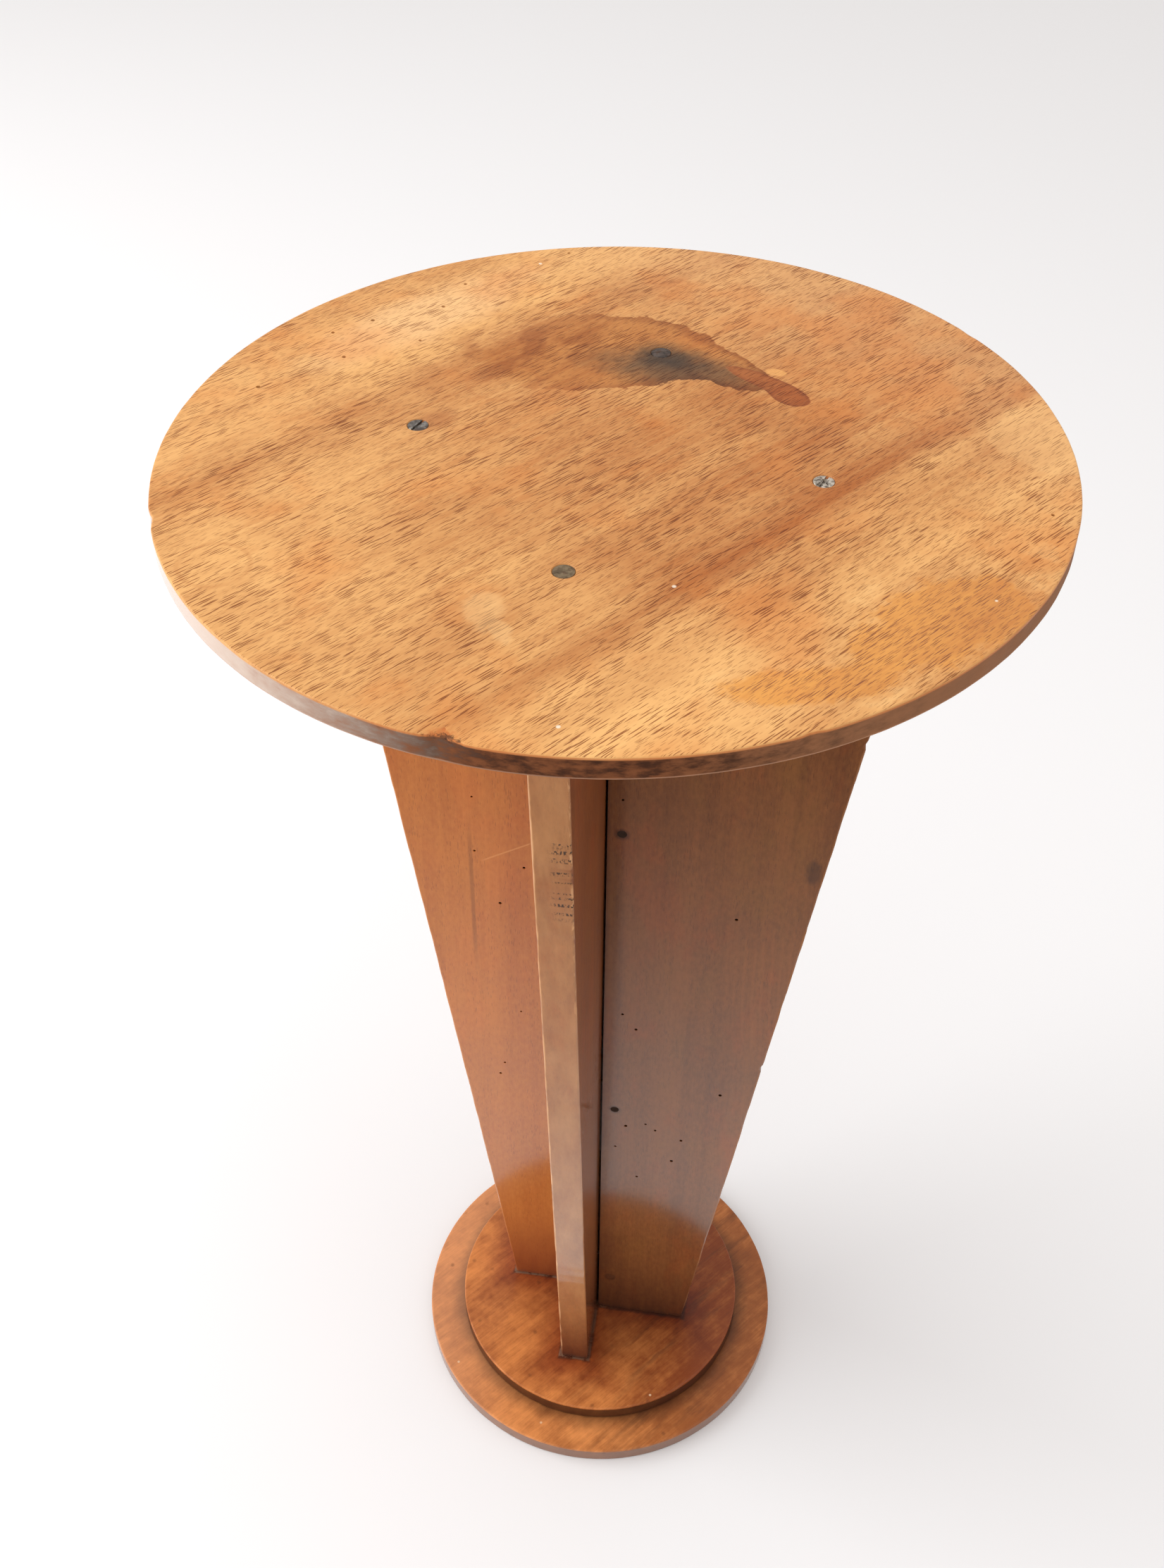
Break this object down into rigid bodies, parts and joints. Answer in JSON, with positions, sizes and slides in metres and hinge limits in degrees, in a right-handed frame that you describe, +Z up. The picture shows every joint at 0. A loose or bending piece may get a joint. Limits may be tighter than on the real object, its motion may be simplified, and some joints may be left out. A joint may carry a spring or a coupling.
{
  "type": "pedestal table",
  "caption": "Small round wooden pedestal table: thin round top screwed to a pinwheel column of tapered boards that flares upwards from a stepped round foot.",
  "frame": {"origin": "centre of the foot's underside, on the floor", "axes": "+Z up through the middle of the foot and the top; -Y along the front board, which points towards the viewer; +X along the right board"},
  "size_m": [0.3988, 0.4012, 0.69],
  "materials": {
    "top_wood": "worn satin varnish on honey-brown hardwood with open dark pores",
    "board_wood": "semi-gloss varnish on brown hardwood, grain upright",
    "foot_wood": "satin varnish on red-brown hardwood",
    "screw_steel": "dulled steel, tarnished in the slot",
    "nail_steel": "dull oxidised steel",
    "filler": "matt dark wood filler"
  },
  "bodies": {
    "root": {"top_board": "top_wood", "front_board": "board_wood", "right_board": "board_wood", "back_board": "board_wood", "left_board": "board_wood", "step_disc": "foot_wood", "base_disc": "foot_wood", "top_screw_front": "screw_steel", "top_screw_right": "screw_steel", "top_screw_back": "screw_steel", "top_screw_left": "screw_steel", "base_screw_front": "screw_steel", "base_screw_right": "screw_steel", "base_screw_back": "screw_steel", "base_screw_left": "screw_steel", "nail_front_low": "nail_steel", "nail_front_middle": "nail_steel", "nail_front_high": "nail_steel", "nail_right_low": "nail_steel", "nail_right_middle": "nail_steel", "nail_right_high": "nail_steel", "nail_back_low": "nail_steel", "nail_back_middle": "nail_steel", "nail_back_high": "nail_steel", "nail_left_low": "nail_steel", "nail_left_middle": "nail_steel", "nail_left_high": "nail_steel", "plug_front_low": "filler", "plug_front_middle": "filler", "plug_front_high": "filler", "plug_right_low": "filler", "plug_right_middle": "filler", "plug_right_high": "filler", "plug_back_low": "filler", "plug_back_middle": "filler", "plug_back_high": "filler", "plug_left_low": "filler", "plug_left_middle": "filler", "plug_left_high": "filler"}
  },
  "joints": []
}
